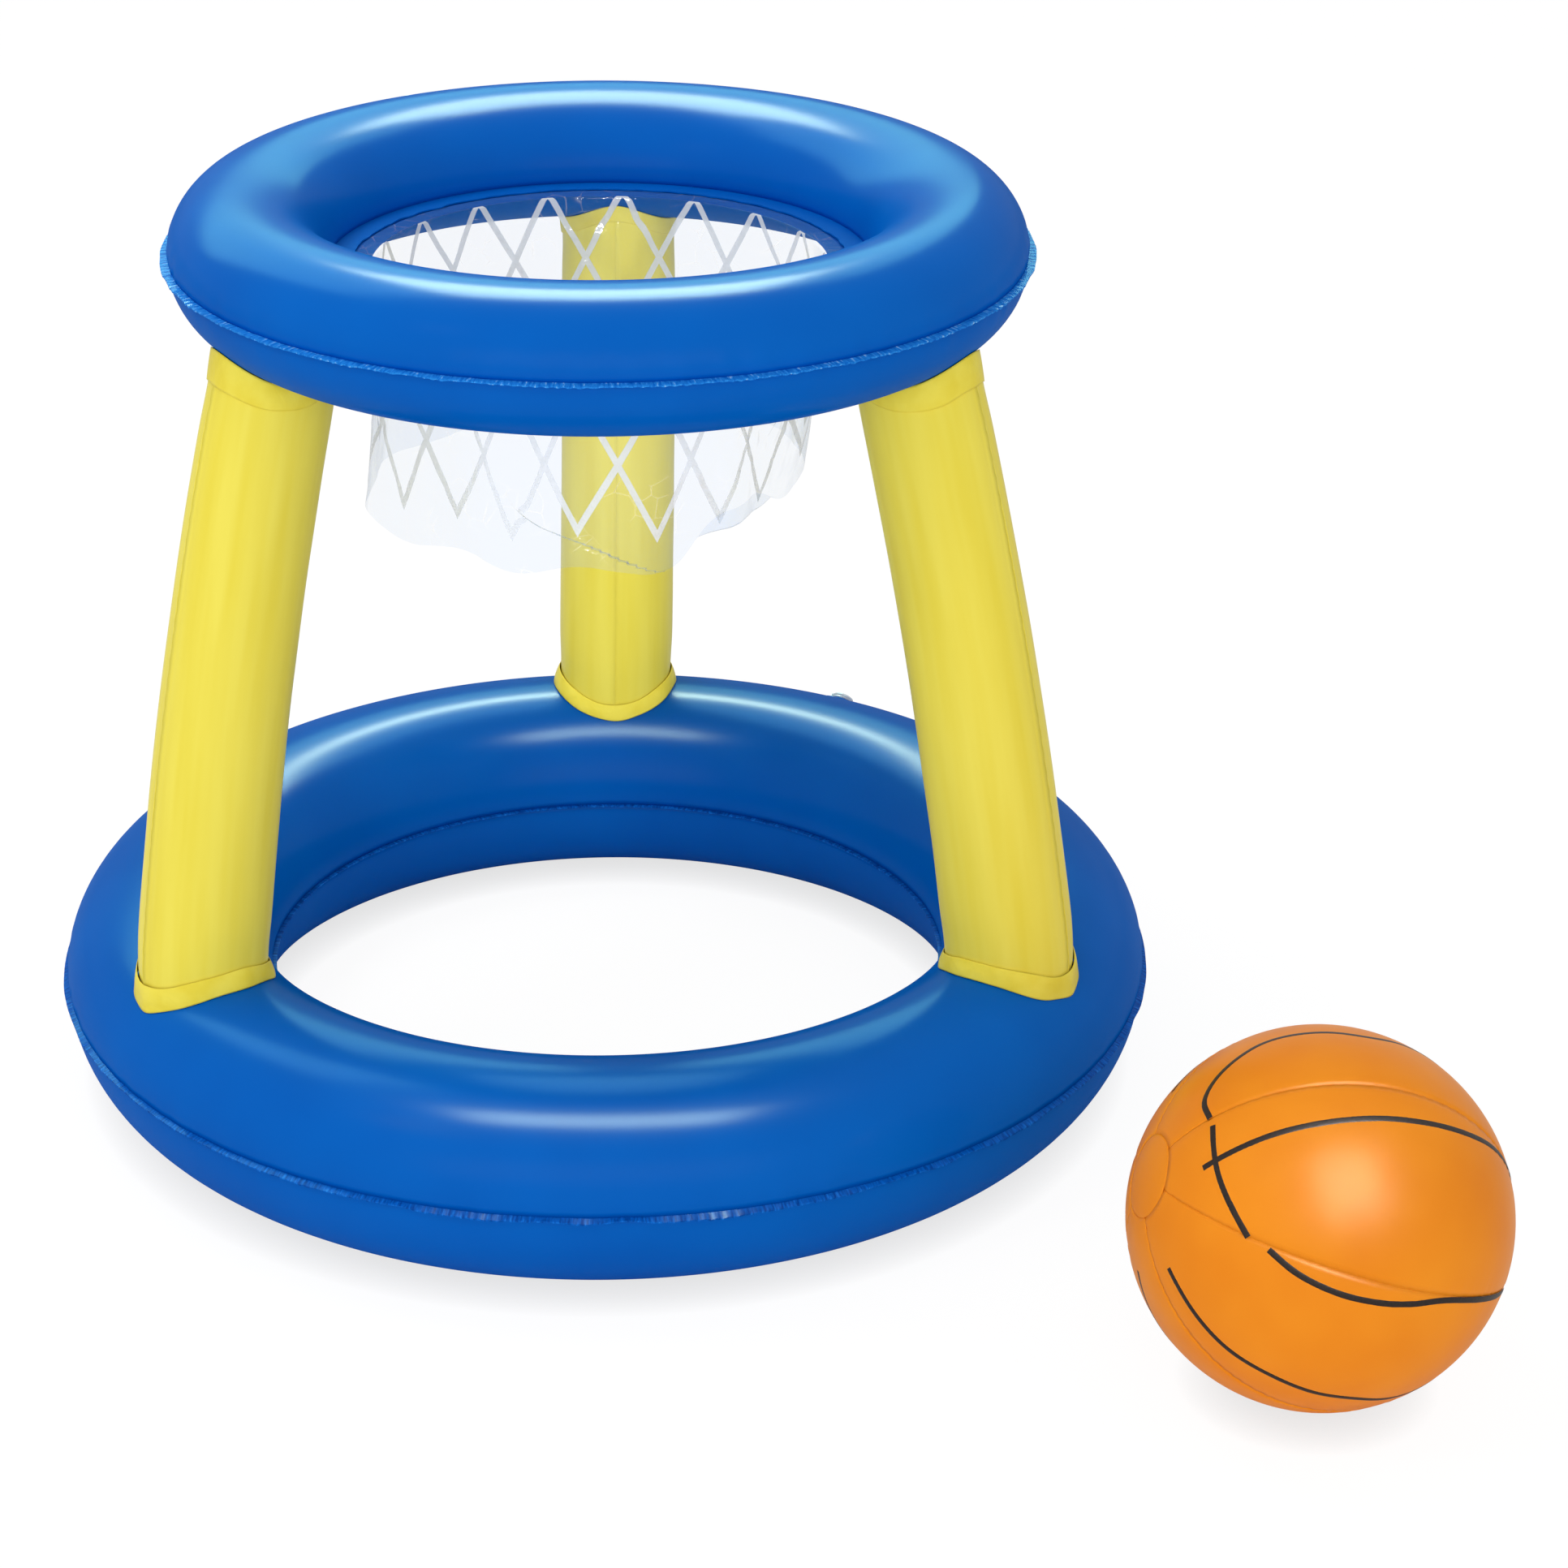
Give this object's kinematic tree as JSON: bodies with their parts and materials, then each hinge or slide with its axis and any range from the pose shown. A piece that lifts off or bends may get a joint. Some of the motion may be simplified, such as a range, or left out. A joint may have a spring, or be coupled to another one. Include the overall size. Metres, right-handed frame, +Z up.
{
  "type": "floating basketball hoop",
  "caption": "Inflatable pool basketball hoop: a wide base ring and leaning tube legs carry a smaller rim ring with a clear film net, and a soft inflatable ball stands beside it.",
  "frame": {"origin": "on the floor, in the middle of the footprint of the hoop and its ball together", "axes": "+Z up; -Y towards the side that the picture shows, with the ball in front on the right; +X to the right; the rear leg is on the +Y side of the hoop's axis"},
  "size_m": [0.725, 0.741, 0.494],
  "materials": {
    "blue_pvc": "glossy blue PVC film",
    "yellow_pvc": "glossy yellow PVC film",
    "orange_pvc": "glossy orange PVC film",
    "clear_film": "clear PVC film",
    "clear_valve_pvc": "clear PVC film"
  },
  "bodies": {
    "hoop": {"base_ring_upper_sheet": "blue_pvc", "base_ring_lower_sheet": "blue_pvc", "top_ring_upper_sheet": "blue_pvc", "top_ring_lower_sheet": "blue_pvc", "net_rim_flange": "blue_pvc", "net_sleeve": "clear_film", "rear_leg_left_panel": "yellow_pvc", "rear_leg_right_panel": "yellow_pvc", "left_leg_front_panel": "yellow_pvc", "left_leg_rear_panel": "yellow_pvc", "right_leg_rear_panel": "yellow_pvc", "right_leg_front_panel": "yellow_pvc", "rear_leg_foot_flange": "yellow_pvc", "rear_leg_head_flange": "yellow_pvc", "left_leg_foot_flange": "yellow_pvc", "left_leg_head_flange": "yellow_pvc", "right_leg_foot_flange": "yellow_pvc", "right_leg_head_flange": "yellow_pvc", "base_ring_valve_flange": "blue_pvc", "top_ring_valve_flange": "blue_pvc"},
    "ball": {"ball_gore_1": "orange_pvc", "ball_gore_2": "orange_pvc", "ball_gore_3": "orange_pvc", "ball_gore_4": "orange_pvc", "ball_gore_5": "orange_pvc", "ball_gore_6": "orange_pvc", "ball_front_cap": "orange_pvc", "ball_valve_end_cap": "orange_pvc", "ball_valve_flange": "orange_pvc"},
    "base_ring_stem": {"base_ring_valve_stem": "clear_valve_pvc"},
    "base_ring_cap": {"base_ring_valve_cap": "clear_valve_pvc"},
    "base_ring_flap": {"base_ring_valve_flap": "clear_valve_pvc"},
    "top_ring_stem": {"top_ring_valve_stem": "clear_valve_pvc"},
    "top_ring_cap": {"top_ring_valve_cap": "clear_valve_pvc"},
    "top_ring_flap": {"top_ring_valve_flap": "clear_valve_pvc"},
    "ball_stem": {"ball_valve_stem": "clear_valve_pvc"},
    "ball_cap": {"ball_valve_cap": "clear_valve_pvc"},
    "ball_flap": {"ball_valve_flap": "clear_valve_pvc"}
  },
  "joints": [
    {"name": "ball_lift", "type": "slide", "parent": "hoop", "child": "ball", "axis": [0, 0, 1], "range_m": [0, 0.5]},
    {"name": "base_ring_valve_push", "type": "slide", "parent": "hoop", "child": "base_ring_stem", "axis": [0.372, 0.6442, 0.6683], "range_m": [0, 0.009]},
    {"name": "base_ring_cap_strap", "type": "hinge", "parent": "base_ring_stem", "child": "base_ring_cap", "pos_m": [0.07193, 0.32399, 0.09519], "axis": [-0.3341, -0.5787, 0.7439], "range_deg": [0, 150]},
    {"name": "base_ring_flap_bend", "type": "hinge", "parent": "base_ring_stem", "child": "base_ring_flap", "pos_m": [0.06899, 0.31409, 0.08616], "axis": [0.3341, 0.5787, -0.7439], "range_deg": [0, 40], "stiffness_Nm_per_rad": 0.0002},
    {"name": "top_ring_valve_push", "type": "slide", "parent": "hoop", "child": "top_ring_stem", "axis": [-0.4091, 0.7084, 0.5752], "range_m": [0, 0.009]},
    {"name": "top_ring_cap_strap", "type": "hinge", "parent": "top_ring_stem", "child": "top_ring_cap", "pos_m": [-0.17848, 0.25682, 0.481], "axis": [0.2876, -0.4981, 0.818], "range_deg": [0, 150]},
    {"name": "top_ring_flap_bend", "type": "hinge", "parent": "top_ring_stem", "child": "top_ring_flap", "pos_m": [-0.17088, 0.24846, 0.47323], "axis": [-0.2876, 0.4981, -0.818], "range_deg": [0, 40], "stiffness_Nm_per_rad": 0.0002},
    {"name": "ball_valve_push", "type": "slide", "parent": "ball", "child": "ball_stem", "axis": [0.9361, 0.1083, -0.3347], "range_m": [0, 0.009]},
    {"name": "ball_cap_strap", "type": "hinge", "parent": "ball_stem", "child": "ball_cap", "pos_m": [0.36193, -0.2694, 0.06585], "axis": [0.1149, -0.9934, 0], "range_deg": [0, 150]},
    {"name": "ball_flap_bend", "type": "hinge", "parent": "ball_stem", "child": "ball_flap", "pos_m": [0.3485, -0.27095, 0.0681], "axis": [-0.1149, 0.9934, 0], "range_deg": [0, 40], "stiffness_Nm_per_rad": 0.0002}
  ]
}
